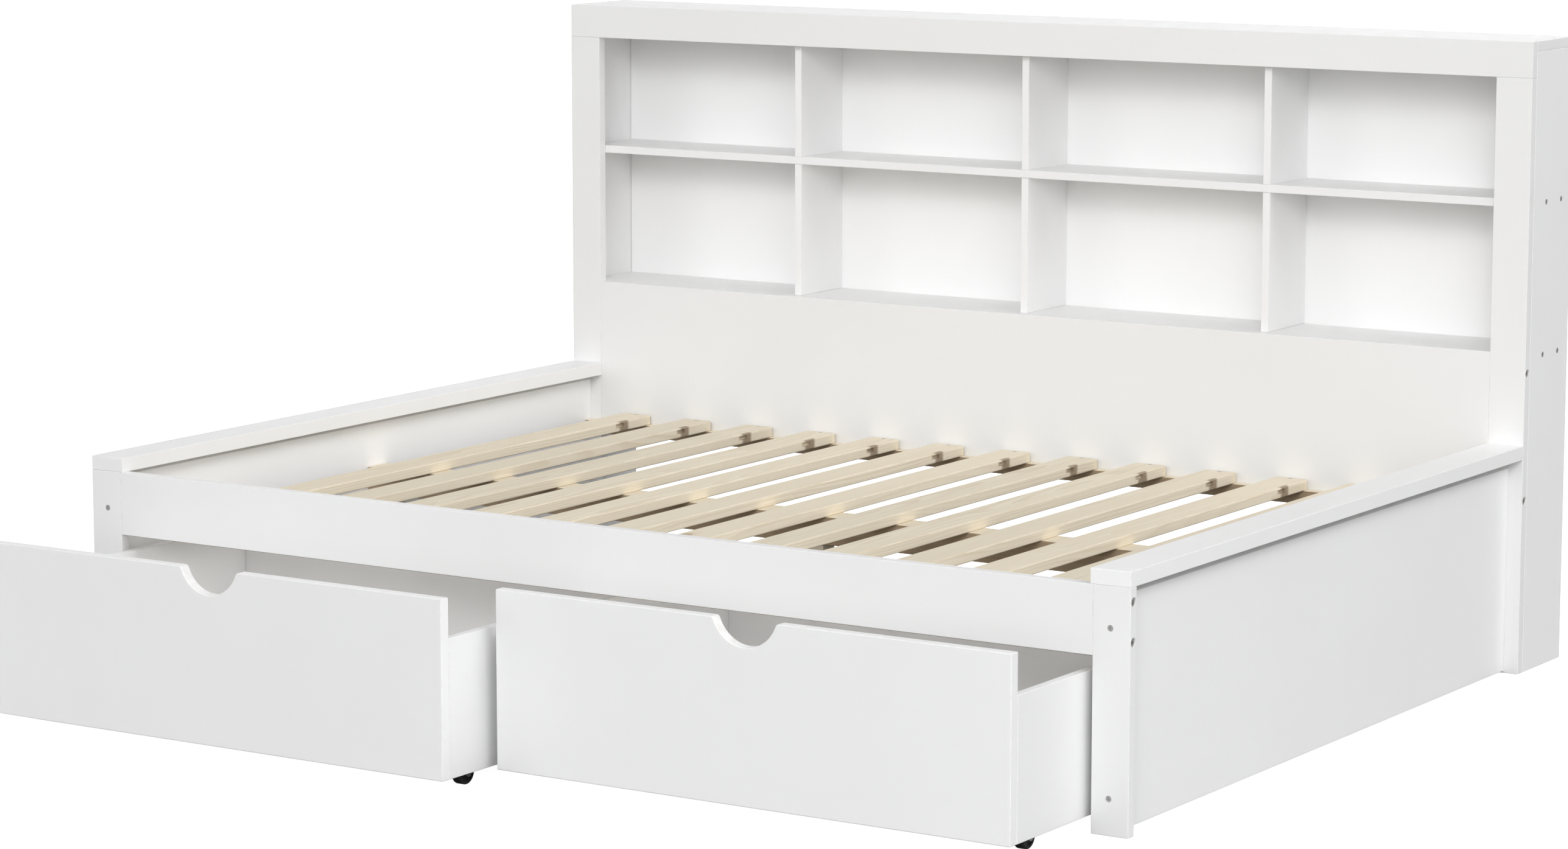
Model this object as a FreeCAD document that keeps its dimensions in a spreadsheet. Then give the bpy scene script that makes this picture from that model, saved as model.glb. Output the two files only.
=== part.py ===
import FreeCAD, Part

import math
import os
import re

import Sketcher

# A full-size daybed: a bookcase along one long side, a slatted base in front of it, and two
# drawers that roll on the floor under the front rail.
#
# Millimetres. X runs along the bookcase, Y runs towards it and Z is up. The origin is on the
# floor, at the middle of the whole bed with both drawers part open, which is how they rest.

Vector = FreeCAD.Vector

SIZES = {
    # whole bed
    "bed_length": 2060,
    "bed_span": 1448,
    "edge_round": 1.2,
    # bookcase
    "case_height": 1126,
    "case_depth": 185,
    "face_frame": 20,
    "stile_wide": 68,
    "top_rail_high": 64,
    "end_panel_thick": 25,
    "top_board_thick": 18,
    "shelf_top": 576,
    "shelf_thick": 18,
    "mid_shelf_low": 832,
    "mid_shelf_thick": 15,
    "divider_thick": 15,
    "lap_play": 0.2,
    "back_inset": 9,
    "back_thick": 6,
    "lower_panel_low": 272,
    # low sides and front
    "leg_wide": 65,
    "leg_thick": 19,
    "leg_high": 387,
    "cap_wide": 70,
    "cap_thick": 25,
    "side_panel_inset": 27,
    "side_panel_thick": 15,
    "side_panel_lift": 4,
    "rail_high": 110,
    # slats and what carries them
    "slat_count": 13,
    "slat_field": 1964,
    "slat_wide": 66,
    "slat_thick": 19,
    "slat_end_gap": 3,
    "slat_round": 2.5,
    "slat_corner": 9,
    "slat_slot_from_end": 97,
    "slat_slot_long": 28,
    "slat_slot_high": 8,
    "slat_slot_deep": 7,
    "slat_slot_low": 8,
    "ledge_deep": 20,
    "ledge_high": 25,
    "beam_wide": 57,
    "beam_high": 50,
    "beam_back": 669,
    "cleat_wide": 125,
    "cleat_thick": 19,
    "cleat_high": 50,
    "centre_leg_wide": 38,
    "fit_gap": 1,
    # bolts with barrel nuts
    "bolt_head": 14,
    "bolt_head_high": 5,
    "bolt_key": 6,
    "bolt_shank": 6.2,
    "bolt_hole": 7,
    "bolt_sink": 15,
    "bolt_sink_deep": 7,
    "bolt_reach": 52,
    "nut_wide": 10,
    "nut_long": 14,
    "nut_from_end": 35,
    "rail_bolt_low": 25,
    "rail_bolt_high": 87,
    "panel_bolt_low": 40,
    "panel_bolt_high": 268,
    # wood screws
    "screw_head": 9.2,
    "screw_head_high": 2.6,
    "screw_cross": 1.4,
    "screw_shank": 4,
    "screw_long": 36,
    "screw_hole": 4.6,
    "screw_sink": 10,
    "screw_sink_deep": 3,
    "end_screw_front": 75,
    "end_screw_back": 140,
    "top_screw_front": 45,
    "top_screw_back": 115,
    "leg_screw_low": 58,
    "leg_screw_high": 322,
    "slat_screw_inset": 8,
    "shelf_pin": 5,
    "shelf_pin_long": 15,
    "shelf_pin_deep": 8,
    "shelf_pin_back": 30,
    # drawers
    "drawer_wide": 944,
    "drawer_middle_gap": 20.6,
    "drawer_face_low": 24,
    "drawer_face_high": 293,
    "drawer_front_thick": 20,
    "drawer_side_high": 227,
    "drawer_board": 15,
    "drawer_depth": 640,
    "drawer_bottom_low": 48,
    "drawer_bottom_thick": 12,
    "drawer_round": 1.6,
    "cutout_wide": 116,
    "cutout_deep": 43,
    "cutout_lip": 6,
    "closed_gap": 2,
    "left_open": 320,
    "right_open": 204,
    # casters
    "wheel_size": 40,
    "wheel_wide": 18,
    "wheel_round": 3,
    "axle_size": 6,
    "axle_play": 0.06,
    "caster_from_side": 28,
    "caster_from_end": 90,
    "fork_gap": 20,
    "fork_thick": 2.5,
    "fork_long": 30,
    "plate_wide": 36,
    "plate_long": 62,
    "plate_screw_long": 12,
    "plate_screw_near": 26,
    "plate_screw_far": 22,
    "plate_screw_beside": 18,
    "wheel_rim": 6,
    "wheel_hub": 14,
    "wheel_dish": 2.5,
}

# Places worked out from the sizes, as expressions over the sheet.
CASE_FACE = "(bed_span + closed_gap + drawer_front_thick + left_open - case_depth) / 2"
BED_FRONT = f"({CASE_FACE} - bed_span)"
HALF = "(bed_length / 2)"
CASE_BACK = f"({CASE_FACE} + case_depth)"
BACK_FACE = f"({CASE_BACK} - back_inset - back_thick)"
SHELF_DEEP = f"(case_depth - face_frame - back_inset - back_thick)"
INSIDE_CASE = "(bed_length - 2 * end_panel_thick)"
CELL = f"(({INSIDE_CASE} - 3 * divider_thick) / 4)"
PANEL_INNER = f"({HALF} - side_panel_inset - side_panel_thick)"
LEDGE_LOW = "lower_panel_low"
SLAT_LOW = f"({LEDGE_LOW} + ledge_high)"
SLAT_LONG = "(bed_span - leg_thick - 2 * slat_end_gap)"
BEAM_LOW = f"({SLAT_LOW} - beam_high)"
BEAM_FRONT = f"({CASE_FACE} - beam_back - beam_wide)"
RAIL_LOW = "(leg_high - rail_high)"
SIDE_LINE = "(side_panel_inset + side_panel_thick / 2)"

doc = FreeCAD.newDocument("bookcase_daybed")
sheet = doc.addObject("Spreadsheet::Sheet", "Sizes")
for row, (alias, size) in enumerate(SIZES.items(), start=1):
    sheet.set(f"A{row}", alias)
    sheet.set(f"B{row}", str(size))
    sheet.setAlias(f"B{row}", alias)
doc.recompute()

made = []


def bound(text):
    """An expression over the sheet: each plain word becomes its cell."""
    return re.sub(r"[a-z][a-z_]*", lambda word: "Sizes." + word.group(), text)


def number(text):
    """What an expression over the sheet comes to."""
    return float(sheet.evalExpression(bound(text)))


# Sketches, pads and holes


def new_body(name):
    body = doc.addObject("PartDesign::Body", name)
    body.Label = name
    made.append(body)
    return body


def place(body, x, y, z, turn=0):
    """Puts a sub-part's own corner at x, y, z, turned about Z."""
    body.Placement.Rotation = FreeCAD.Rotation(Vector(0, 0, 1), turn)
    body.setExpression("Placement.Base.x", bound(x))
    body.setExpression("Placement.Base.y", bound(y))
    body.setExpression("Placement.Base.z", bound(z))


def sketch_on(body, plane, offset=None):
    """A sketch on one of the body's own planes, moved along the plane's normal by offset."""
    sketch = body.newObject("Sketcher::SketchObject", f"{body.Name}_sketch")
    support = next(f for f in body.Origin.OriginFeatures if f.Role == plane)
    sketch.AttachmentSupport = (support, [""])
    sketch.MapMode = "FlatFace"
    if offset:
        sketch.setExpression("AttachmentOffset.Base.z", bound(offset))
    return sketch


def measure(sketch, kind, places, text):
    """A dimension bound to the sheet."""
    index = sketch.addConstraint(Sketcher.Constraint(kind, *places, number(text)))
    name = f"{kind.lower()}_{index}"
    sketch.renameConstraint(index, name)
    sketch.setExpression(f"Constraints.{name}", bound(text))


def locate(sketch, index, point, x, y):
    """Holds a point at x, y from the sketch's origin."""
    for axis, kind, text in ((-2, "DistanceX", x), (-1, "DistanceY", y)):
        if text == "0":
            sketch.addConstraint(Sketcher.Constraint("PointOnObject", index, point, axis))
        else:
            measure(sketch, kind, (-1, 1, index, point), text)


def outline(sketch, corners):
    """A closed run of straight lines through corners, each a pair of expressions."""
    points = [Vector(number(x), number(y)) for x, y in corners]
    first = sketch.GeometryCount
    count = len(points)
    lines = [Part.LineSegment(points[i], points[(i + 1) % count]) for i in range(count)]
    sketch.addGeometry(lines, False)
    for i in range(count):
        sketch.addConstraint(Sketcher.Constraint("Coincident", first + i, 2, first + (i + 1) % count, 1))
    for i, (x, y) in enumerate(corners):
        locate(sketch, first + i, 1, x, y)


def rectangle(sketch, left, low, wide, high):
    right = wide if left == "0" else f"({left}) + ({wide})"
    top = high if low == "0" else f"({low}) + ({high})"
    outline(sketch, [(left, low), (right, low), (right, top), (left, top)])


def circle(sketch, x, y, size):
    centre = Vector(number(x), number(y))
    index = sketch.addGeometry(Part.Circle(centre, Vector(0, 0, 1), number(size) / 2), False)
    locate(sketch, index, 3, x, y)
    measure(sketch, "Diameter", (index,), size)


def pad(body, sketch, length):
    feature = body.newObject("PartDesign::Pad", f"{body.Name}_pad")
    feature.Profile = sketch
    feature.setExpression("Length", bound(length))
    return feature


def round_all(body, base, radius="edge_round"):
    """Every edge of the blank eased by hand sanding, or by a router where the radius is larger."""
    feature = body.newObject("PartDesign::Fillet", f"{body.Name}_round")
    feature.Base = (base, [])
    feature.UseAllEdges = True
    feature.setExpression("Radius", bound(radius))
    return feature


def pocket(body, sketch, depth, along_normal):
    """A cut of that depth, along the sketch's normal or against it."""
    feature = body.newObject("PartDesign::Pocket", f"{body.Name}_pocket")
    feature.Profile = sketch
    feature.Reversed = along_normal
    feature.setExpression("Length", bound(depth))
    return feature


def holes(body, plane, offset, centres, size, depth, along_normal):
    sketch = sketch_on(body, plane, offset)
    for x, y in centres:
        circle(sketch, x, y, size)
    return pocket(body, sketch, depth, along_normal)


def board(name, wide, deep, high, radius="edge_round"):
    """A plain board, wide along its own X, deep along Y and high along Z, with eased edges."""
    body = new_body(name)
    sketch = sketch_on(body, "XY_Plane")
    rectangle(sketch, "0", "0", wide, deep)
    round_all(body, pad(body, sketch, high), radius)
    return body


# Bolts, nuts and screws are groups of loose solids, so each group is one plain feature.


def at(x, y, z):
    return Vector(number(x), number(y), number(z))


def rod(start, along, size, length):
    return Part.makeCylinder(size / 2, length, start, along)


def bolt(seat, along):
    """A bolt whose head stands on the seat, with a hex socket, and whose shank runs along."""
    head_high = number("bolt_head_high")
    top = seat - along * head_high
    head = rod(top, along, number("bolt_head"), head_high)
    key = number("bolt_key") / math.sqrt(3)
    side = Vector(0, 0, 1)
    rim = [top + FreeCAD.Rotation(along, 60 * i).multVec(side) * key for i in range(7)]
    socket = Part.Face(Part.makePolygon(rim)).extrude(along * (head_high * 0.6))
    shank = rod(seat, along, number("bolt_shank"), number("leg_wide + bolt_reach"))
    return head.cut(socket).fuse(shank)


def barrel_nut(start, along, bolt_line):
    """A short round bar with a cross hole for the bolt, whose line runs through bolt_line along X."""
    body = rod(start, along, number("nut_wide"), number("nut_long"))
    reach = number("nut_wide")
    bore = rod(bolt_line - Vector(reach, 0, 0), Vector(1, 0, 0), number("bolt_shank") + 0.2, 2 * reach)
    return body.cut(bore)


def screw(seat, along, long="screw_long"):
    """A wood screw whose round head stands on the seat, with a cross recess, and a plain shank."""
    head_high = number("screw_head_high")
    top = seat - along * head_high
    head = rod(top, along, number("screw_head"), head_high)
    slot_wide = number("screw_cross")
    slot_long = number("screw_head") * 0.6
    turn = FreeCAD.Rotation(Vector(0, 0, 1), along)
    for sizes in ((slot_long, slot_wide), (slot_wide, slot_long)):
        slot = Part.makeBox(sizes[0], sizes[1], head_high * 0.6, Vector(-sizes[0] / 2, -sizes[1] / 2, 0))
        slot.Placement = FreeCAD.Placement(top, turn)
        head = head.cut(slot)
    shank = rod(seat, along, number("screw_shank"), number(long))
    return head.fuse(shank)


def grip(thick):
    """How deep a hole goes for the rest of a screw that comes through a board this thick."""
    return f"(screw_sink_deep + screw_long - {thick} + 1)"


def group(name, shapes):
    feature = doc.addObject("Part::Feature", name)
    feature.Label = name
    feature.Shape = Part.makeCompound(shapes)
    feature.Placement = FreeCAD.Placement()
    made.append(feature)
    return feature


bolts = []
screws = []
SIDES = (("left", -1), ("right", 1))


def end_turn(side):
    """A board drawn from its outer face inwards is turned half round for the right-hand side."""
    return 0 if side < 0 else 180


def across(side, inwards):
    """A place along X, measured inwards from that end of the bed."""
    return f"{side} * ({HALF} - ({inwards}))"


# Bookcase


def end_panel(name, side):
    """A tall end board behind the stile, drilled for the shelves' screws."""
    body = board(name, "end_panel_thick", "case_depth - face_frame", "case_height - top_board_thick")
    near = f"{CASE_FACE} + face_frame"
    x = f"-{HALF}" if side < 0 else f"{HALF} - end_panel_thick"
    place(body, x, near, "0")
    heights = ("shelf_top - shelf_thick / 2", "mid_shelf_low + mid_shelf_thick / 2")
    depths = ("end_screw_front", "end_screw_back")
    centres = [(f"{depth} - face_frame", height) for height in heights for depth in depths]
    outer = None if side < 0 else "end_panel_thick"
    holes(body, "YZ_Plane", outer, centres, "screw_hole", "end_panel_thick", side < 0)
    holes(body, "YZ_Plane", outer, centres, "screw_sink", "screw_sink_deep", side < 0)
    top = [("end_panel_thick / 2", f"{depth} - face_frame") for depth in ("top_screw_front", "top_screw_back")]
    high = "case_height - top_board_thick"
    holes(body, "XY_Plane", high, top, "screw_hole", grip("top_board_thick"), False)
    inwards = Vector(-side, 0, 0)
    for height in heights:
        for depth in depths:
            seat = at(across(side, "screw_sink_deep"), f"{CASE_FACE} + {depth}", height)
            screws.append(screw(seat, inwards))


def stile(name, side):
    """A front upright, bored along X for the two bolts that carry the lower panel, and along Y for the
    two screws that hold the low side."""
    body = board(name, "stile_wide", "face_frame", "case_height - top_rail_high")
    y = f"{CASE_FACE}" if side < 0 else f"{CASE_FACE} + face_frame"
    place(body, f"{side} * {HALF}", y, "0", end_turn(side))
    heights = [f"lower_panel_low + {height}" for height in ("panel_bolt_low", "panel_bolt_high")]
    centres = [("face_frame / 2", height) for height in heights]
    holes(body, "YZ_Plane", None, centres, "bolt_hole", "stile_wide", True)
    holes(body, "YZ_Plane", None, centres, "bolt_sink", "bolt_sink_deep", True)
    heights = ("leg_screw_low", "leg_screw_high")
    centres = [(SIDE_LINE, height) for height in heights]
    back_at = "-face_frame" if side < 0 else None
    holes(body, "XZ_Plane", back_at, centres, "screw_hole", "face_frame", side < 0)
    holes(body, "XZ_Plane", back_at, centres, "screw_sink", "screw_sink_deep", side < 0)
    for height in heights:
        seat = at(across(side, SIDE_LINE), f"{CASE_FACE} + face_frame - screw_sink_deep", height)
        screws.append(screw(seat, Vector(0, -1, 0)))


def bolted_board(name, long, thick, high, low, bolt_heights, face):
    """A board between two uprights. Each end is drilled for two bolts, and cross-drilled from one face
    for the barrel nuts that the bolts screw into."""
    body = board(name, long, thick, high)
    place(body, f"-({long}) / 2", face, low)
    ends = [(f"({thick}) / 2", height) for height in bolt_heights]
    holes(body, "YZ_Plane", None, ends, "bolt_hole", "bolt_sink_deep + bolt_reach + 1", True)
    holes(body, "YZ_Plane", long, ends, "bolt_hole", "bolt_sink_deep + bolt_reach + 1", False)
    crossings = [(x, z) for x in ("nut_from_end", f"{long} - nut_from_end") for z in bolt_heights]
    holes(body, "XZ_Plane", f"-({thick})", crossings, "nut_wide + 0.4", "nut_long + 1", True)
    for side in (-1, 1):
        for height in bolt_heights:
            line_y = f"{face} + ({thick}) / 2"
            line_z = f"{low} + {height}"
            seat = at(across(side, "bolt_sink_deep"), line_y, line_z)
            bolts.append(bolt(seat, Vector(-side, 0, 0)))
            nut_x = f"{side} * (({long}) / 2 - nut_from_end)"
            mouth = at(nut_x, f"{face} + ({thick}) - 0.5", line_z)
            bolts.append(barrel_nut(mouth, Vector(0, -1, 0), at(nut_x, line_y, line_z)))


def top_board():
    body = board("top_board", "bed_length", "case_depth - face_frame", "top_board_thick")
    place(body, f"-{HALF}", f"{CASE_FACE} + face_frame", "case_height - top_board_thick")
    lines = ("end_panel_thick / 2", "bed_length - end_panel_thick / 2")
    depths = ("top_screw_front", "top_screw_back")
    centres = [(x, f"{depth} - face_frame") for x in lines for depth in depths]
    holes(body, "XY_Plane", "top_board_thick", centres, "screw_hole", "top_board_thick", False)
    holes(body, "XY_Plane", "top_board_thick", centres, "screw_sink", "screw_sink_deep", False)
    for side in (-1, 1):
        for depth in depths:
            seat = at(across(side, "end_panel_thick / 2"), f"{CASE_FACE} + {depth}",
                      "case_height - screw_sink_deep")
            screws.append(screw(seat, Vector(0, 0, -1)))


def shelf_ends(body, thick):
    """Holes in a long shelf's ends for the screws that come through the end panels."""
    centres = [(f"{depth} - face_frame", f"{thick} / 2") for depth in ("end_screw_front", "end_screw_back")]
    holes(body, "YZ_Plane", None, centres, "screw_hole", grip("end_panel_thick"), True)
    holes(body, "YZ_Plane", INSIDE_CASE, centres, "screw_hole", grip("end_panel_thick"), False)


def bottom_shelf():
    body = board("bottom_shelf", INSIDE_CASE, SHELF_DEEP, "shelf_thick")
    place(body, f"-{INSIDE_CASE} / 2", f"{CASE_FACE} + face_frame", "shelf_top - shelf_thick")
    shelf_ends(body, "shelf_thick")


def mid_shelf():
    """One long shelf with a slot from its back edge for each divider."""
    body = board("mid_shelf", INSIDE_CASE, SHELF_DEEP, "mid_shelf_thick")
    place(body, f"-{INSIDE_CASE} / 2", f"{CASE_FACE} + face_frame", "mid_shelf_low")
    sketch = sketch_on(body, "XY_Plane")
    for count in (1, 2, 3):
        left = f"{count} * {CELL} + {count - 1} * divider_thick - lap_play"
        rectangle(sketch, left, f"{SHELF_DEEP} / 2 - lap_play", "divider_thick + 2 * lap_play",
                  f"{SHELF_DEEP} / 2 + 5")
    pocket(body, sketch, "mid_shelf_thick", True)
    shelf_ends(body, "mid_shelf_thick")


def divider(name, count):
    """An upright between the bottom shelf and the top board, with a slot from its front edge for the
    mid shelf."""
    high = "case_height - top_board_thick - shelf_top"
    body = board(name, "divider_thick", SHELF_DEEP, high)
    left = f"-{INSIDE_CASE} / 2 + {count} * {CELL} + {count - 1} * divider_thick"
    place(body, left, f"{CASE_FACE} + face_frame", "shelf_top")
    sketch = sketch_on(body, "YZ_Plane")
    rectangle(sketch, "-5", "mid_shelf_low - shelf_top - lap_play", f"{SHELF_DEEP} / 2 + 5 + lap_play",
              "mid_shelf_thick + 2 * lap_play")
    pocket(body, sketch, "divider_thick", True)
    return body


def shelf_pin(body):
    """One pin in the centre divider, close under the mid shelf near its back edge."""
    low = "mid_shelf_low - lap_play - shelf_pin / 2"
    back = f"{SHELF_DEEP} - shelf_pin_back"
    centre = [(back, f"{low} - shelf_top")]
    holes(body, "YZ_Plane", "divider_thick", centre, "shelf_pin + 0.4", "shelf_pin_deep + 0.5", False)
    start = at("divider_thick / 2 - shelf_pin_deep", f"{CASE_FACE} + face_frame + {back}", low)
    screws.append(rod(start, Vector(1, 0, 0), number("shelf_pin"), number("shelf_pin_long")))


def bookcase():
    for word, side in SIDES:
        end_panel(f"end_panel_{word}", side)
        stile(f"stile_{word}", side)
    rail = board("top_rail", "bed_length", "face_frame", "top_rail_high")
    place(rail, f"-{HALF}", CASE_FACE, "case_height - top_rail_high")
    top_board()
    bottom_shelf()
    bolted_board("lower_panel", "bed_length - 2 * stile_wide", "face_frame", "shelf_top - lower_panel_low",
                 "lower_panel_low", ("panel_bolt_low", "panel_bolt_high"), CASE_FACE)
    mid_shelf()
    divider("divider_left", 1)
    shelf_pin(divider("divider_centre", 2))
    divider("divider_right", 3)
    back = board("back_panel", f"{INSIDE_CASE} - fit_gap", "back_thick",
                 "case_height - top_board_thick - shelf_top + shelf_thick")
    place(back, f"-({INSIDE_CASE} - fit_gap) / 2", BACK_FACE, "shelf_top - shelf_thick")


# Low sides, front and slat base


def front_leg(name, side):
    """A flat leg, bored along X for the rail's two bolts and along Y for the side's two screws."""
    body = board(name, "leg_wide", "leg_thick", "leg_high")
    y = f"{BED_FRONT}" if side < 0 else f"{BED_FRONT} + leg_thick"
    place(body, f"{side} * {HALF}", y, "0", end_turn(side))
    centres = [("leg_thick / 2", f"{RAIL_LOW} + {height}") for height in ("rail_bolt_low", "rail_bolt_high")]
    holes(body, "YZ_Plane", None, centres, "bolt_hole", "leg_wide", True)
    holes(body, "YZ_Plane", None, centres, "bolt_sink", "bolt_sink_deep", True)
    heights = ("leg_screw_low", "leg_screw_high")
    centres = [(SIDE_LINE, height) for height in heights]
    front_at = None if side < 0 else "-leg_thick"
    holes(body, "XZ_Plane", front_at, centres, "screw_hole", "leg_thick", side > 0)
    holes(body, "XZ_Plane", front_at, centres, "screw_sink", "screw_sink_deep", side > 0)
    for height in heights:
        seat = at(across(side, SIDE_LINE), f"{BED_FRONT} + screw_sink_deep", height)
        screws.append(screw(seat, Vector(0, 1, 0)))


def side_panel(name, side):
    """A low side board between the leg and the stile, drilled in both ends for their screws."""
    long = "bed_span - leg_thick"
    body = board(name, "side_panel_thick", long, "leg_high - side_panel_lift")
    x = f"-{HALF} + side_panel_inset" if side < 0 else PANEL_INNER
    place(body, x, f"{BED_FRONT} + leg_thick", "side_panel_lift")
    centres = [("side_panel_thick / 2", f"{height} - side_panel_lift")
               for height in ("leg_screw_low", "leg_screw_high")]
    holes(body, "XZ_Plane", None, centres, "screw_hole", grip("leg_thick"), False)
    holes(body, "XZ_Plane", f"-({long})", centres, "screw_hole", grip("face_frame"), True)


def side_cap(name, side):
    body = board(name, "cap_wide", "bed_span", "cap_thick")
    x = f"-{HALF}" if side < 0 else f"{HALF} - cap_wide"
    place(body, x, BED_FRONT, "leg_high")


def slat_spots():
    """The left edge of each slat: equal gaps across the field of slats."""
    gap = "((slat_field - slat_count * slat_wide) / (slat_count + 1))"
    return [f"(-slat_field / 2 + {gap} + {i} * ({gap} + slat_wide))" for i in range(SIZES["slat_count"])]


def slat_ledge(name, y, screw_y):
    """A strip under the slat ends, drilled for one screw per slat."""
    body = board(name, f"2 * {PANEL_INNER} - 2 * fit_gap", "ledge_deep", "ledge_high")
    place(body, f"-{PANEL_INNER} + fit_gap", y, LEDGE_LOW)
    centres = [(f"{left} + slat_wide / 2 + {PANEL_INNER} - fit_gap", screw_y) for left in slat_spots()]
    holes(body, "XY_Plane", "ledge_high", centres, "screw_hole", "ledge_high", False)


def slat(name, left):
    """A slat with rounded corners, a screw hole at each end, and a short slot near each end in its
    right-hand edge."""
    body = new_body(name)
    sketch = sketch_on(body, "XY_Plane")
    rectangle(sketch, "0", "0", "slat_wide", SLAT_LONG)
    blank = pad(body, sketch, "slat_thick")
    doc.recompute([body, blank])
    upright = [f"Edge{i}" for i, edge in enumerate(blank.Shape.Edges, start=1)
               if abs(edge.tangentAt(edge.FirstParameter).z) > 0.99]
    corners = body.newObject("PartDesign::Fillet", f"{name}_corners")
    corners.Base = (blank, upright)
    corners.setExpression("Radius", bound("slat_corner"))
    round_all(body, corners, "slat_round")
    start = f"{BED_FRONT} + leg_thick + slat_end_gap"
    place(body, left, start, SLAT_LOW)
    ends = ("slat_screw_inset", f"{SLAT_LONG} - slat_screw_inset")
    centres = [("slat_wide / 2", y) for y in ends]
    holes(body, "XY_Plane", "slat_thick", centres, "screw_hole", "slat_thick", False)
    holes(body, "XY_Plane", "slat_thick", centres, "screw_sink", "screw_sink_deep", False)
    slots = sketch_on(body, "YZ_Plane", "slat_wide")
    for y in ("slat_slot_from_end", f"{SLAT_LONG} - slat_slot_from_end - slat_slot_long"):
        rectangle(slots, y, "slat_slot_low", "slat_slot_long", "slat_slot_high")
    pocket(body, slots, "slat_slot_deep", False)
    for y in ends:
        seat = at(f"{left} + slat_wide / 2", f"{start} + {y}", f"{SLAT_LOW} + slat_thick - screw_sink_deep")
        screws.append(screw(seat, Vector(0, 0, -1)))


def beam_cleat(word, side):
    body = board(f"beam_cleat_{word}", "cleat_thick", "cleat_wide", "cleat_high")
    made.remove(body)
    x = f"-{PANEL_INNER}" if side < 0 else f"{PANEL_INNER} - cleat_thick"
    place(body, x, f"{BEAM_FRONT} + (beam_wide - cleat_wide) / 2", f"{BEAM_LOW} - cleat_high")
    return body


def slat_base():
    for word, side in SIDES:
        front_leg(f"front_leg_{word}", side)
        side_panel(f"side_panel_{word}", side)
        side_cap(f"side_cap_{word}", side)
    bolted_board("front_rail", "bed_length - 2 * leg_wide", "leg_thick", "rail_high", RAIL_LOW,
                 ("rail_bolt_low", "rail_bolt_high"), BED_FRONT)
    slat_ledge("rear_slat_ledge", f"{CASE_FACE} - ledge_deep",
               "ledge_deep - slat_end_gap - slat_screw_inset")
    slat_ledge("front_slat_ledge", f"{BED_FRONT} + leg_thick", "slat_end_gap + slat_screw_inset")
    beam = board("centre_beam", f"2 * {PANEL_INNER} - 2 * fit_gap", "beam_wide", "beam_high")
    place(beam, f"-{PANEL_INNER} + fit_gap", BEAM_FRONT, BEAM_LOW)
    leg = board("centre_leg", "centre_leg_wide", "centre_leg_wide", BEAM_LOW)
    place(leg, "-centre_leg_wide / 2", f"{BEAM_FRONT} + (beam_wide - centre_leg_wide) / 2", "0")
    cleats = doc.addObject("Part::Compound", "beam_cleats")
    cleats.Label = "beam_cleats"
    cleats.Links = [beam_cleat(word, side) for word, side in SIDES]
    made.append(cleats)
    for count, left in enumerate(slat_spots(), start=1):
        slat(f"slat_{count:02d}", left)


# Drawers


def drawer_front(name, left, back):
    """The front board, with a rounded finger cut-out in the middle of its top edge."""
    body = new_body(name)
    sketch = sketch_on(body, "XZ_Plane")
    rectangle(sketch, "0", "0", "drawer_wide", "drawer_face_high")
    pad(body, sketch, "drawer_front_thick")
    radius = "((cutout_wide * cutout_wide / 4 + cutout_deep * cutout_deep) / (2 * cutout_deep))"
    cutout = sketch_on(body, "XZ_Plane")
    circle(cutout, "drawer_wide / 2", f"drawer_face_high + {radius} - cutout_deep", f"2 * {radius}")
    scooped = pocket(body, cutout, "drawer_front_thick", True)
    doc.recompute([body, scooped])
    middle = number("drawer_wide") / 2
    top = number("drawer_face_high") - 0.1
    lips = [f"Edge{i}" for i, edge in enumerate(scooped.Shape.Edges, start=1)
            if edge.BoundBox.YLength > 1 and edge.BoundBox.ZMin > top
            and abs(edge.CenterOfMass.x - middle) < number("cutout_wide")]
    soft = body.newObject("PartDesign::Fillet", f"{name}_lips")
    soft.Base = (scooped, lips)
    soft.setExpression("Radius", bound("cutout_lip"))
    round_all(body, soft, "drawer_round")
    place(body, left, back, "drawer_face_low")


def drawer_bottom(name, left, back, casters):
    """The floor of the drawer, drilled from below for the screws of the four casters."""
    body = board(name, "drawer_wide - 2 * drawer_board", "drawer_depth - drawer_board", "drawer_bottom_thick")
    place(body, f"{left} + drawer_board", back, "drawer_bottom_low")
    spots = []
    for x, y, inwards in casters:
        spots += [(f"{sx} - ({left} + drawer_board)", f"{sy} - ({back})") for sx, sy in plate_spots(x, y, inwards)]
    holes(body, "XY_Plane", None, spots, "screw_hole", "plate_screw_long - fork_thick + 0.5", True)


def plate_spots(x, y, inwards):
    """The four screws of a caster's plate: two in line with the wheel and two beside the fork."""
    spots = [(x, f"({y}) + {way} * plate_screw_near") for way in (-1, 1)]
    beside = f"({x}) + {inwards} * plate_screw_beside"
    return spots + [(beside, f"({y}) + {way} * plate_screw_far") for way in (-1, 1)]


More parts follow.
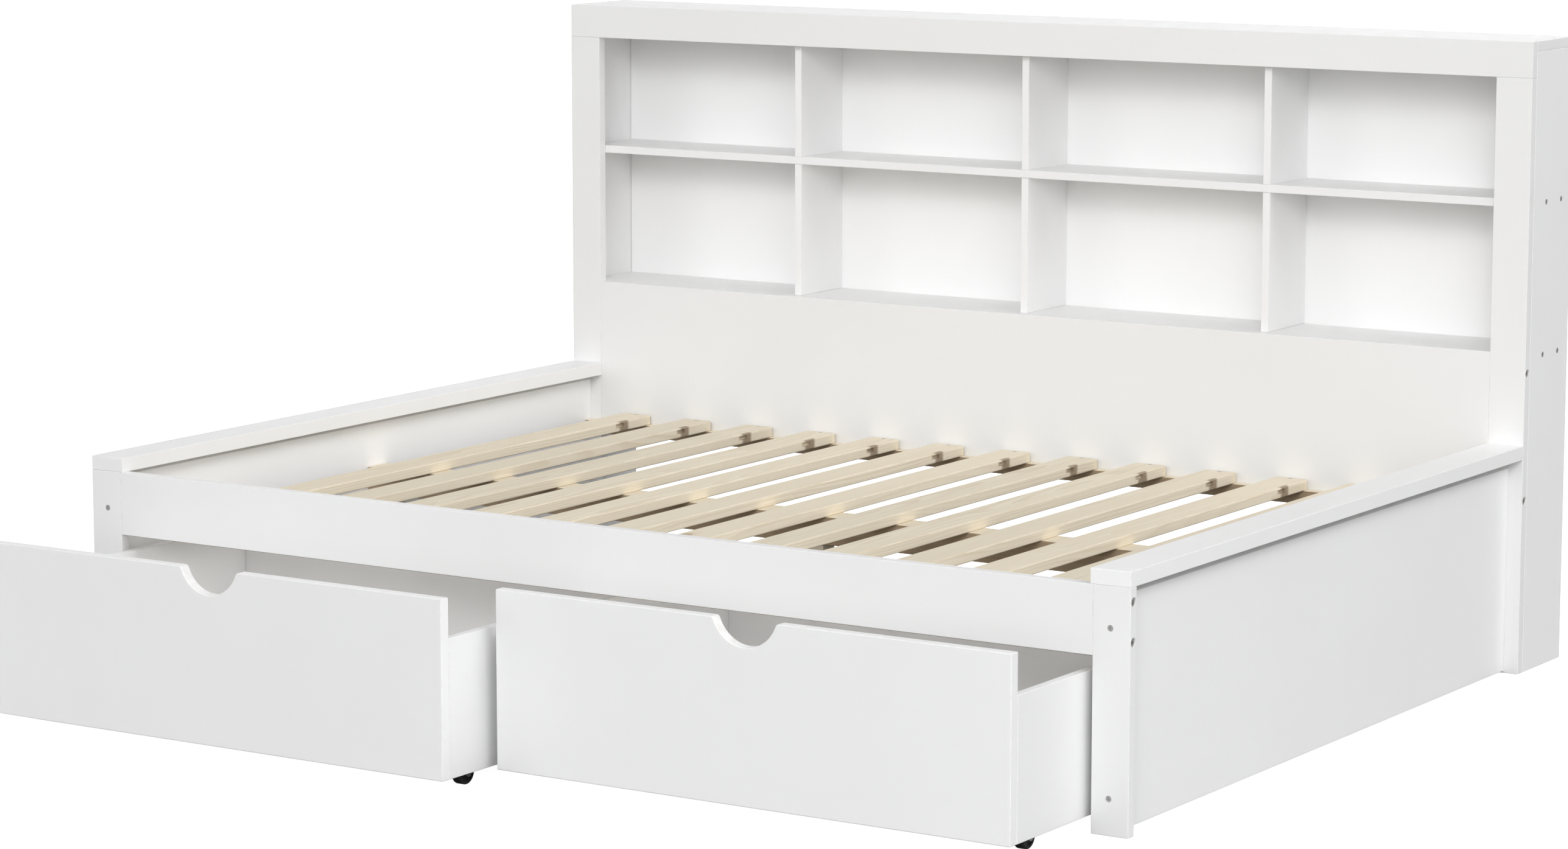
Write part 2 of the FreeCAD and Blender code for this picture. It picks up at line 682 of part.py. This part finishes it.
def caster(x, y, inwards):
    """A bent plate with two cheeks and a riveted axle, and the four screws that hold it."""
    centre = at(x, y, "wheel_size / 2")
    thick = number("fork_thick")
    half_gap = number("fork_gap") / 2
    top = number("drawer_bottom_low")
    outer = half_gap + thick
    along = Vector(inwards, 0, 0)
    long = number("plate_long")
    wide = number("plate_wide")
    low_x = centre.x - outer if inwards > 0 else centre.x + outer - wide
    plate = Part.makeBox(wide, long, thick, Vector(low_x, centre.y - long / 2, top - thick))
    body = plate
    fork_long = number("fork_long")
    nose = number("axle_size") + 1
    for way in (-1, 1):
        cheek_x = centre.x + way * (half_gap + thick / 2) - thick / 2
        web = Part.makePolygon([Vector(cheek_x, centre.y - fork_long / 2, top - thick / 2),
                                Vector(cheek_x, centre.y + fork_long / 2, top - thick / 2),
                                Vector(cheek_x, centre.y + nose, centre.z),
                                Vector(cheek_x, centre.y - nose, centre.z),
                                Vector(cheek_x, centre.y - fork_long / 2, top - thick / 2)])
        cheek = Part.Face(web).extrude(Vector(thick, 0, 0))
        end = Part.makeCylinder(nose, thick, Vector(cheek_x, centre.y, centre.z), Vector(1, 0, 0))
        body = body.fuse(cheek).fuse(end)
    axle = rod(centre - along * outer, along, number("axle_size"), 2 * outer)
    rivet = rod(centre + along * outer, along, number("axle_size") + 3, 1.6)
    body = body.fuse(axle).fuse(rivet)
    parts = []
    for sx, sy in plate_spots(x, y, inwards):
        seat = at(sx, sy, "drawer_bottom_low - fork_thick")
        body = body.cut(rod(seat - Vector(0, 0, 1), Vector(0, 0, 1), number("screw_hole"), thick + 2))
        parts.append(screw(seat, Vector(0, 0, 1), "plate_screw_long"))
    return [body.removeSplitter()] + parts


def wheel(name, x, y):
    """A small solid wheel with a dished face on each side of its hub."""
    body = new_body(name)
    sketch = sketch_on(body, "YZ_Plane")
    circle(sketch, "0", "0", "wheel_size")
    round_all(body, pad(body, sketch, "wheel_wide"), "wheel_round")
    for offset, along_normal in ((None, True), ("wheel_wide", False)):
        dish = sketch_on(body, "YZ_Plane", offset)
        circle(dish, "0", "0", "wheel_size - 2 * wheel_rim")
        circle(dish, "0", "0", "wheel_hub")
        pocket(body, dish, "wheel_dish", along_normal)
    holes(body, "YZ_Plane", None, [("0", "0")], "axle_size + 2 * axle_play", "wheel_wide", True)
    place(body, f"{x} - wheel_wide / 2", y, "wheel_size / 2")


def drawer(word, left, opened):
    """A drawer whose front stands that far out from its closed place."""
    back = f"({BED_FRONT} - closed_gap - {opened})"
    drawer_front(f"{word}_drawer_front", left, back)
    for side, x in (("left", left), ("right", f"{left} + drawer_wide - drawer_board")):
        body = board(f"{word}_drawer_side_{side}", "drawer_board", "drawer_depth", "drawer_side_high")
        place(body, x, back, "drawer_face_low")
    body = board(f"{word}_drawer_back", "drawer_wide - 2 * drawer_board", "drawer_board", "drawer_side_high")
    place(body, f"{left} + drawer_board", f"{back} + drawer_depth - drawer_board", "drawer_face_low")
    near = f"({back} - drawer_front_thick + caster_from_end)"
    far = f"({back} + drawer_depth - caster_from_end)"
    first = f"({left} + caster_from_side)"
    last = f"({left} + drawer_wide - caster_from_side)"
    spots = (("front_left", first, near, 1), ("front_right", last, near, -1),
             ("rear_left", first, far, 1), ("rear_right", last, far, -1))
    drawer_bottom(f"{word}_drawer_bottom", left, back, [spot[1:] for spot in spots])
    parts = []
    for place_word, x, y, inwards in spots:
        parts += caster(x, y, inwards)
        wheel(f"{word}_wheel_{place_word}", x, y)
    group(f"{word}_caster_brackets", parts)


bookcase()
slat_base()
group("frame_bolts", bolts)
group("wood_screws", screws)
drawer("left", "(-drawer_middle_gap / 2 - drawer_wide)", "left_open")
drawer("right", "(drawer_middle_gap / 2)", "right_open")

doc.recompute()

for thing in doc.Objects:
    if "Invalid" in thing.State or "Error" in thing.State:
        raise RuntimeError(f"{thing.Name} did not recompute: {thing.State}")
    if thing.TypeId == "PartDesign::Pocket":
        removed = thing.BaseFeature.Shape.Volume - thing.Shape.Volume
        if removed < 1:
            raise RuntimeError(f"{thing.Name} removes nothing")

os.makedirs("parts", exist_ok=True)
for thing in made:
    if thing.Shape.isNull() or not thing.Shape.isValid():
        raise RuntimeError(f"{thing.Label} has no valid shape")
    thing.Shape.exportStep(f"parts/{thing.Label}.step")
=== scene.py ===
import math

import bpy
from mathutils import Euler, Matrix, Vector


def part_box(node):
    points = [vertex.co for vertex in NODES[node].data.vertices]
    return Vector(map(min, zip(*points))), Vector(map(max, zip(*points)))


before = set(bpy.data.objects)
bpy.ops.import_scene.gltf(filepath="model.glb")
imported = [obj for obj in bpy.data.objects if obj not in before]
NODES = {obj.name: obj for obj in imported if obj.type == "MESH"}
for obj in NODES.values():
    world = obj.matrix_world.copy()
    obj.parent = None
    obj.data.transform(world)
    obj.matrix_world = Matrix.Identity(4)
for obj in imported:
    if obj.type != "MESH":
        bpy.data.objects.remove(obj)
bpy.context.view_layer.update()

# Camera: three-quarter view from the front right, a little above the bookcase.
CAMERA_PLACE = Vector((4.227, -6.559, 1.657))
CAMERA_TURN = math.radians(32.847)
CAMERA_DOWN = math.radians(8.66)
CAMERA_LENS = 104.1
SENSOR_WIDTH = 36
CAMERA_REACH = 100

# The floor in view, and just under it the one that light bounces from.
FLOOR_SIZE = 60
FLOOR_LEVEL = -0.0005
UNDER_FLOOR_LEVEL = -0.002

# The studio's light: an even ambient light, and soft lobes in it. Each lobe is a compass angle in degrees
# (0 is straight in front, positive toward the bed's right), a slope, a sharpness and a strength.
AMBIENT = 0.35
LOBES = [
    (-30, 0.18, 8, 0.85),     # broad, front left
    (30, 0.18, 8, 1.22),      # broad, front right
    (-35, 0.30, 60, 1.8),     # narrow, front left
    (22, 0.42, 150, 17.0),    # key, which shades the tops of the bookcase's cells
    (90, 0.84, 30, 6.0),      # high on the right
    (90, 0.30, 30, 0.4),      # low on the right
    (-165, 0.10, 8, 1.6),     # broad, behind, for the bookcase's back
]

SPRING_WOOD = (0.84, 0.765, 0.63)
LATE_WOOD = (0.69, 0.585, 0.43)
KNOT = (0.33, 0.20, 0.10, 1)
KNOT_HALO = (0.60, 0.45, 0.28, 1)
# Painted shade: the browns of the shaded sides of the ledges and the beam, and the dark brown in and round
# each slat's slot.
SIDE_SHADE_DARK = (0.27, 0.18, 0.10, 1)
SIDE_SHADE_PALE = (0.37, 0.26, 0.15, 1)
SLOT_SHADE = (0.20, 0.13, 0.07, 1)
EDGE_DIRT = (0.55, 0.43, 0.29, 1)
WORN_PAINT = (0.62, 0.58, 0.52, 1)
RINGS_PER_METRE = 260.0

# Materials. Each one is a small graph over the object's own coordinates, in metres.


class Graph:
    """A material with one Principled shader, and short calls for the nodes that feed it."""

    def __init__(self, name, **uniform):
        self.material = bpy.data.materials.new(name)
        self.material.use_nodes = True
        self.tree = self.material.node_tree
        self.shader = self.tree.nodes["Principled BSDF"]
        for socket, setting in uniform.items():
            self.shader.inputs[socket.replace("_", " ")].default_value = setting
        self.place = self.node("ShaderNodeTexCoord").outputs["Object"]

    def node(self, kind, settings=None, **inputs):
        """A new node. An input is named with _ for each space, or by _ and its index."""
        made = self.tree.nodes.new(kind)
        for name, setting in (settings or {}).items():
            setattr(made, name, setting)
        for name, feed in inputs.items():
            key = int(name[1:]) if name[0] == "_" else name.replace("_", " ")
            self.feed(made.inputs[key], feed)
        return made

    def feed(self, socket, feed):
        if isinstance(feed, bpy.types.NodeSocket):
            self.tree.links.new(feed, socket)
        else:
            socket.default_value = feed

    def split(self, vector):
        return self.node("ShaderNodeSeparateXYZ", Vector=vector).outputs

    def facing(self):
        """The direction that the surface faces, as X, Y and Z."""
        return self.split(self.node("ShaderNodeNewGeometry").outputs["Normal"])

    def math(self, operation, a, b=0.0):
        return self.node("ShaderNodeMath", {"operation": operation}, _0=a, _1=b).outputs[0]

    def stretch(self, place, scale):
        return self.node("ShaderNodeMapping", Vector=place, Scale=scale).outputs[0]

    def noise(self, place, scale, detail, rough):
        made = self.node("ShaderNodeTexNoise", Vector=place, Scale=scale, Detail=detail, Roughness=rough)
        return made.outputs["Fac"]

    def ramp(self, feed, low, high, start=0.0, end=1.0):
        made = self.node("ShaderNodeMapRange", {"interpolation_type": "SMOOTHSTEP"}, _0=feed, _1=low, _2=high,
                         _3=start, _4=end)
        return made.outputs[0]

    def mix(self, amount, a, b, blend="MIX"):
        made = self.node("ShaderNodeMix", {"data_type": "RGBA", "blend_type": blend})
        self.feed(made.inputs[0], amount)
        self.feed(made.inputs[6], a)
        self.feed(made.inputs[7], b)
        return made.outputs[2]

    def bump(self, height, depth, below=None):
        made = self.node("ShaderNodeBump", Height=height, Distance=depth)
        if below is not None:
            self.feed(made.inputs["Normal"], below)
        return made.outputs[0]

    def edges(self):
        """1 on the narrow rounded edges of a board, 0 on its flat faces."""
        sizes = [self.math("ABSOLUTE", part) for part in self.facing()]
        largest = self.math("MAXIMUM", self.math("MAXIMUM", sizes[0], sizes[1]), sizes[2])
        return self.ramp(largest, 0.995, 0.90)

    def finish(self, colour, rough, normal=None):
        self.feed(self.shader.inputs["Base Color"], colour)
        self.feed(self.shader.inputs["Roughness"], rough)
        if normal is not None:
            self.feed(self.shader.inputs["Normal"], normal)
        return self.material


def grey(level, warm=0.0):
    return (level * (1 + warm), level, level * (1 - warm), 1)


def paint(name, along, tone, gloss=0.40, joint=None):
    """Sprayed white paint over a sanded board: a fine stipple, the board's grain just showing through,
    slow changes of tone, and edges where the paint is thin. The heights given for a cap's shadow are the
    bottom and the top of a band of painted shadow, darker grey paint in the recess under a cap."""
    g = Graph(name, IOR=1.5)
    slow = g.noise(g.place, 2.6, 3.0, 0.6)
    cloud = g.noise(g.place, 24.0, 3.0, 0.6)
    stipple = g.noise(g.place, 850.0, 2.0, 0.6)
    squeeze = [1.0 if axis != along else 0.05 for axis in "XYZ"]
    grain = g.noise(g.stretch(g.place, squeeze), 260.0, 3.0, 0.65)
    colour = g.mix(g.ramp(slow, 0.3, 0.7), grey(tone * 0.98), grey(tone, -0.002))
    colour = g.mix(g.ramp(cloud, 0.45, 0.75, 0.0, 0.35), colour, grey(tone * 0.985, -0.001))
    worn = g.math("MULTIPLY", g.edges(), g.ramp(g.noise(g.place, 70.0, 4.0, 0.7), 0.42, 0.68))
    colour = g.mix(g.math("MULTIPLY", worn, 0.30), colour, WORN_PAINT)
    # Painted shadow: below the cap's edge the paint is mixed toward darker grey, the shade in the recess
    # under the cap's overhang.
    if joint is not None:
        level = g.split(g.place)[2]
        level = g.math("ADD", level, g.math("MULTIPLY", g.math("SUBTRACT", cloud, 0.5), 0.001))
        cap_shadow_mask = g.ramp(level, joint[0] - 0.001, joint[0] + 0.0015, 0.0, 0.92)
        colour = g.mix(cap_shadow_mask, colour, g.mix(g.ramp(cloud, 0.3, 0.7), grey(0.50, 0.01), grey(0.58, 0.01)))
    rough = g.math("ADD", g.ramp(cloud, 0.3, 0.7, gloss - 0.05, gloss + 0.06), g.math("MULTIPLY", worn, 0.12))
    normal = g.bump(grain, 0.00006)
    normal = g.bump(stipple, 0.00003, normal)
    normal = g.bump(cloud, 0.0003, normal)
    return g.finish(colour, rough, normal)


def pine(name, along, seed, pitch=0.0, knots=0.5, shaded_sides=False, slot=None):
    """Planed bare pine. Growth rings turn about a line that runs with the board, so flat faces show long
    lines and ends show arcs. With a pitch, boards set that far apart along X each get their own wood. The
    option for shaded sides paints every face but the top dark brown, as painted shade under the slats. A
    slot is the place along Y, and the distance from the board's middle, of a slot with painted shade in
    and round it."""
    g = Graph(name, IOR=1.45)
    across = [axis for axis in "XYZ" if axis != along]
    at = dict(zip("XYZ", g.split(g.place)))
    board = g.math("SNAP", g.math("ADD", at["X"], pitch / 2), pitch) if pitch else 0.0
    key = g.node("ShaderNodeCombineXYZ", _0=board, _1=float(seed), _2=0.5).outputs[0]
    luck = g.node("ShaderNodeTexWhiteNoise", {"noise_dimensions": "3D"}, Vector=key)
    chance = g.node("ShaderNodeSeparateColor", Color=luck.outputs["Color"]).outputs
    own = g.node("ShaderNodeVectorMath", {"operation": "MULTIPLY_ADD"}, _0=luck.outputs["Color"],
                 _1=(7.0, 9.0, 5.0), _2=g.place).outputs[0]

    slow = [0.10 if axis == along else 1.0 for axis in "XYZ"]
    wander = g.node("ShaderNodeTexNoise", Vector=g.stretch(own, slow), Scale=9.0, Detail=2.0, Roughness=0.5)
    bend = g.node("ShaderNodeVectorMath", {"operation": "SUBTRACT"}, _0=wander.outputs["Color"],
                  _1=(0.5, 0.5, 0.5)).outputs[0]
    bend = g.split(bend)
    first, second = across
    side = g.math("SUBTRACT", at[first], board) if pitch and first == "X" else at[first]
    shift = g.ramp(chance[0], 0.0, 1.0, -0.05, 0.05)
    u = g.math("ADD", g.math("ADD", side, shift), g.math("MULTIPLY", bend[0], 0.055))
    drop = g.ramp(chance[1], 0.0, 1.0, 0.02, 0.09)
    v = g.math("ADD", g.math("SUBTRACT", at[second], BOARD_LEVEL[name]), g.math("MULTIPLY", bend[1], 0.05))
    v = g.math("ADD", v, drop)
    radius = g.math("SQRT", g.math("ADD", g.math("MULTIPLY", u, u), g.math("MULTIPLY", v, v)))
    rings = g.math("FRACT", g.math("MULTIPLY", radius, RINGS_PER_METRE))
    late = g.math("MULTIPLY", g.ramp(rings, 0.35, 0.93), g.ramp(rings, 1.0, 0.95))

    fibre_scale = [0.02 if axis == along else 1.0 for axis in "XYZ"]
    fibre = g.noise(g.stretch(own, fibre_scale), 900.0, 3.0, 0.7)
    streak = g.noise(g.stretch(own, fibre_scale), 150.0, 3.0, 0.6)
    patch = g.noise(g.stretch(own, slow), 16.0, 2.0, 0.5)

    colour = g.mix(g.math("MULTIPLY", late, g.ramp(patch, 0.3, 0.7, 0.22, 0.62)), (*SPRING_WOOD, 1),
                   (*LATE_WOOD, 1))
    colour = g.mix(g.ramp(streak, 0.42, 0.75, 0.0, 0.30), colour, (*[c * 0.86 for c in SPRING_WOOD], 1))
    colour = g.mix(g.ramp(fibre, 0.35, 0.80, 0.0, 0.22), colour, (*LATE_WOOD, 1))
    tone = g.ramp(chance[2], 0.0, 1.0, 0.97, 1.05)
    tint = g.node("ShaderNodeCombineColor", _0=tone, _1=g.math("MULTIPLY", tone, 0.995),
                  _2=g.math("MULTIPLY", tone, 0.975)).outputs[0]
    colour = g.mix(1.0, colour, tint, "MULTIPLY")

    if knots:
        cell_scale = [0.55 if axis == along else 1.0 for axis in "XYZ"]
        cells = g.node("ShaderNodeTexVoronoi", Vector=g.stretch(own, cell_scale), Scale=7.0, Randomness=0.9)
        knot = g.math("MULTIPLY", g.ramp(cells.outputs["Distance"], 0.085, 0.05), knots)
        halo = g.math("MULTIPLY", g.ramp(cells.outputs["Distance"], 0.20, 0.07), 0.35 * knots)
        colour = g.mix(halo, colour, KNOT_HALO)
        colour = g.mix(knot, colour, KNOT)

    # Painted shade: every face but the top is mixed toward dark brown, the shade that falls under the slats.
    if shaded_sides:
        upright = g.ramp(g.facing()[2], 0.6, 0.3, 0.0, 0.86)
        colour = g.mix(upright, colour, g.mix(g.ramp(streak, 0.3, 0.7), SIDE_SHADE_DARK, SIDE_SHADE_PALE))
    # Painted shade: in and round the slot, at the slat's edge, the wood is mixed toward dark brown.
    if slot:
        near = g.math("ABSOLUTE", g.math("SUBTRACT", at["Y"], slot[0]))
        ragged = g.math("MULTIPLY", g.math("SUBTRACT", patch, 0.5), 0.012)
        slot_shade = g.math("MULTIPLY", g.ramp(g.math("ADD", near, ragged), 0.020, 0.009),
                       g.ramp(g.math("ADD", side, ragged), slot[1] - 0.011, slot[1] - 0.002))
        colour = g.mix(g.math("MULTIPLY", slot_shade, 0.80), colour, SLOT_SHADE)

    dirt = g.math("MULTIPLY", g.edges(), g.ramp(g.noise(own, 60.0, 3.0, 0.6), 0.35, 0.75, 0.05, 0.30))
    colour = g.mix(dirt, colour, EDGE_DIRT)
    rough = g.ramp(fibre, 0.2, 0.8, 0.55, 0.74)
    normal = g.bump(late, 0.00008)
    normal = g.bump(fibre, 0.00010, normal)
    normal = g.bump(streak, 0.00015, normal)
    return g.finish(colour, rough, normal)


def metal(name, tone, rough_low, rough_high, spangle):
    """Zinc-plated steel with a spangle, small mottling and fine scratches."""
    g = Graph(name, Metallic=1.0)
    mottle = g.noise(g.place, 420.0, 3.0, 0.6)
    cells = g.node("ShaderNodeTexVoronoi", Vector=g.place, Scale=spangle)
    shade = g.node("ShaderNodeSeparateColor", Color=cells.outputs["Color"]).outputs[0]
    scratch = g.noise(g.stretch(g.place, (1.0, 0.06, 1.0)), 2600.0, 2.0, 0.6)
    colour = g.mix(g.ramp(shade, 0.0, 1.0, 0.0, 0.5), grey(tone, 0.01), grey(tone * 0.72, 0.03))
    colour = g.mix(g.ramp(mottle, 0.5, 0.8, 0.0, 0.5), colour, grey(tone * 0.55, 0.08))
    rough = g.ramp(g.math("ADD", mottle, g.math("MULTIPLY", scratch, 0.3)), 0.35, 0.95, rough_low, rough_high)
    return g.finish(colour, rough, g.bump(scratch, 0.0001))


def wheel_plastic(name):
    """Black moulded nylon with a fine moulded texture and pale scuffs on the tread."""
    g = Graph(name, IOR=1.5)
    grain = g.noise(g.place, 2400.0, 2.0, 0.6)
    dust = g.noise(g.place, 130.0, 4.0, 0.7)
    scuff = g.noise(g.stretch(g.place, (3.0, 1.0, 1.0)), 320.0, 3.0, 0.7)
    colour = g.mix(g.ramp(dust, 0.5, 0.8, 0.0, 0.35), grey(0.012), grey(0.05, 0.06))
    colour = g.mix(g.ramp(scuff, 0.62, 0.80, 0.0, 0.5), colour, grey(0.11, 0.05))
    rough = g.ramp(dust, 0.3, 0.8, 0.30, 0.55)
    normal = g.bump(grain, 0.00004)
    normal = g.bump(scuff, 0.00008, normal)
    return g.finish(colour, rough, normal)


def floor_paint(name, tone, glow):
    """A smooth studio floor with a faint unevenness. Its glow is the light that it gives off itself."""
    g = Graph(name, IOR=1.4, Emission_Color=(1, 1, 1, 1), Emission_Strength=glow)
    slow = g.noise(g.place, 0.7, 3.0, 0.5)
    fine = g.noise(g.place, 60.0, 2.0, 0.5)
    colour = g.mix(g.ramp(slow, 0.3, 0.7), grey(tone - 0.01), grey(tone + 0.01))
    rough = g.ramp(fine, 0.3, 0.7, 0.60, 0.70)
    return g.finish(colour, rough)


def middle(node):
    low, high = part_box(node)
    return (low + high) / 2


def top(node):
    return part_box(node)[1]


# Where each pine board's rings are measured from: its top, and for the leg its middle along Y. The heart of
# the wood lies 20 to 90 mm from there.
BOARD_LEVEL = {
    "pine_slats": top("slat_01").z,
    "pine_rear_ledge": top("rear_slat_ledge").z,
    "pine_front_ledge": top("front_slat_ledge").z,
    "pine_beam": top("centre_beam").z,
    "pine_cleats": top("beam_cleats").z,
    "pine_leg": middle("centre_leg").y,
}
SLAT_PITCH = middle("slat_02").x - middle("slat_01").x


def dress(material, *names):
    for name in names:
        slots = NODES[name].data.materials
        slots.clear()
        slots.append(material)


def named(*words):
    return [name for name in NODES if any(word in name for word in words)]


# One white paint in copies with a tone for each group of parts: the differences between the tones are painted
# light and shade, not a difference in the paint.
dress(paint("white_posts", "Z", tone=0.875), *named("stile", "front_leg"))
dress(paint("white_uprights", "Z", tone=0.915), *named("end_panel", "divider"))
dress(paint("white_rails", "X", tone=0.875), *named("top_rail", "top_board", "lower_panel", "front_rail"))
dress(paint("white_shelves", "X", tone=0.90), *named("shelf", "drawer_back", "drawer_bottom"))
dress(paint("white_drawer_fronts", "X", tone=0.91), *named("drawer_front"))
dress(paint("white_drawer_sides", "Y", tone=0.885), *named("drawer_side"))

PANEL_TOP = top("side_panel_left").z
# Each side, the tones of its cap and its panel, whose difference is painted light and shade, and the height
# of the band of painted shadow under the cap.
SIDE_PAINT = (("left", 0.88, 0.94, 0.011), ("right", 0.925, 0.92, 0.017))
for word, cap_tone, panel_tone, recess in SIDE_PAINT:
    cap, panel = "side_cap_" + word, "side_panel_" + word
    dress(paint("white_" + cap, "Y", tone=cap_tone), cap)
    dress(paint("white_" + panel, "Y", tone=panel_tone, joint=(PANEL_TOP - recess, PANEL_TOP)), panel)
dress(paint("white_back", "X", tone=0.935, gloss=0.46), "back_panel")

SLOT_FROM_END = 0.097
SLAT_SLOT = (top("slat_01").y - SLOT_FROM_END, top("slat_01").x - middle("slat_01").x)
dress(pine("pine_slats", "Y", 3, pitch=SLAT_PITCH, slot=SLAT_SLOT), *named("slat_0", "slat_1"))
dress(pine("pine_rear_ledge", "X", 11, shaded_sides=True), "rear_slat_ledge")
dress(pine("pine_front_ledge", "X", 17, shaded_sides=True), "front_slat_ledge")
dress(pine("pine_beam", "X", 23, shaded_sides=True), "centre_beam")
dress(pine("pine_cleats", "Y", 29, knots=0.0), "beam_cleats")
dress(pine("pine_leg", "Z", 31), "centre_leg")

FASTENER = {"tone": 0.60, "rough_low": 0.38, "rough_high": 0.56, "spangle": 700.0}
dress(metal("zinc_bolts", **FASTENER), "frame_bolts")
dress(metal("zinc_screws", **FASTENER), "wood_screws")
dress(metal("zinc_brackets", tone=0.50, rough_low=0.25, rough_high=0.45, spangle=260.0),
      *named("caster_brackets"))
dress(wheel_plastic("caster_nylon"), *named("_wheel_"))


# Floor, lights and camera


def plane(name, centre, wide, deep):
    mesh = bpy.data.meshes.new(name)
    half = Vector((wide / 2, deep / 2, 0))
    corners = [(-half.x, -half.y, 0), (half.x, -half.y, 0), (half.x, half.y, 0), (-half.x, half.y, 0)]
    mesh.from_pydata(corners, [], [(0, 1, 2, 3)])
    made = bpy.data.objects.new(name, mesh)
    made.location = centre
    bpy.context.scene.collection.objects.link(made)
    return made


# The floor in view is white to the camera and gives the object no light or shadow.
floor = plane("floor", (0, 0, FLOOR_LEVEL), FLOOR_SIZE, FLOOR_SIZE)
floor.data.materials.append(floor_paint("studio_floor", tone=0.87, glow=0.96))
floor.visible_diffuse = False
floor.visible_glossy = False
floor.visible_shadow = False

under_floor = plane("under_floor", (0, 0, UNDER_FLOOR_LEVEL), FLOOR_SIZE, FLOOR_SIZE)
under_floor.data.materials.append(floor_paint("under_floor", tone=0.25, glow=0.0))


def soft_light(name, place, target, wide, high, power):
    light = bpy.data.lights.new(name, "AREA")
    light.shape = "RECTANGLE"
    light.size = wide
    light.size_y = high
    light.energy = power
    made = bpy.data.objects.new(name, light)
    made.location = place
    made.rotation_euler = (Vector(target) - Vector(place)).to_track_quat("-Z", "Y").to_euler()
    made.visible_camera = False
    bpy.context.scene.collection.objects.link(made)


def studio_world(ambient, lobes):
    """A world whose strength is the ambient light plus each lobe's, by direction."""
    world = bpy.data.worlds.new("studio")
    world.use_nodes = True
    nodes, links = world.node_tree.nodes, world.node_tree.links
    background = nodes["Background"]
    background.inputs["Color"].default_value = (1, 1, 1, 1)
    place = nodes.new("ShaderNodeTexCoord").outputs["Generated"]
    total = ambient
    for angle, rise, sharp, strength in lobes:
        turn = math.radians(angle)
        toward = nodes.new("ShaderNodeVectorMath")
        toward.operation = "DOT_PRODUCT"
        links.new(place, toward.inputs[0])
        toward.inputs[1].default_value = Vector((math.sin(turn), -math.cos(turn), rise)).normalized()
        feed = toward.outputs["Value"]
        for operation, amount in (("MAXIMUM", 0.0), ("POWER", sharp), ("MULTIPLY", strength)):
            step = nodes.new("ShaderNodeMath")
            step.operation = operation
            links.new(feed, step.inputs[0])
            step.inputs[1].default_value = amount
            feed = step.outputs[0]
        add = nodes.new("ShaderNodeMath")
        links.new(feed, add.inputs[0])
        if isinstance(total, float):
            add.inputs[1].default_value = total
        else:
            links.new(total, add.inputs[1])
        total = add.outputs[0]
    links.new(total, background.inputs["Strength"])
    return world


soft_light("side", place=(3.0, -2.5, 1.6), target=(0.6, 0, 0.5), wide=1.5, high=1.2, power=16)
bpy.context.scene.world = studio_world(AMBIENT, LOBES)
bpy.context.scene.view_settings.view_transform = "Standard"

camera = bpy.data.objects.new("camera", bpy.data.cameras.new("camera"))
camera.data.lens = CAMERA_LENS
camera.data.sensor_width = SENSOR_WIDTH
camera.data.clip_end = CAMERA_REACH
camera.location = CAMERA_PLACE
camera.rotation_euler = Euler((math.pi / 2 - CAMERA_DOWN, 0, CAMERA_TURN))
bpy.context.scene.collection.objects.link(camera)
bpy.context.scene.camera = camera
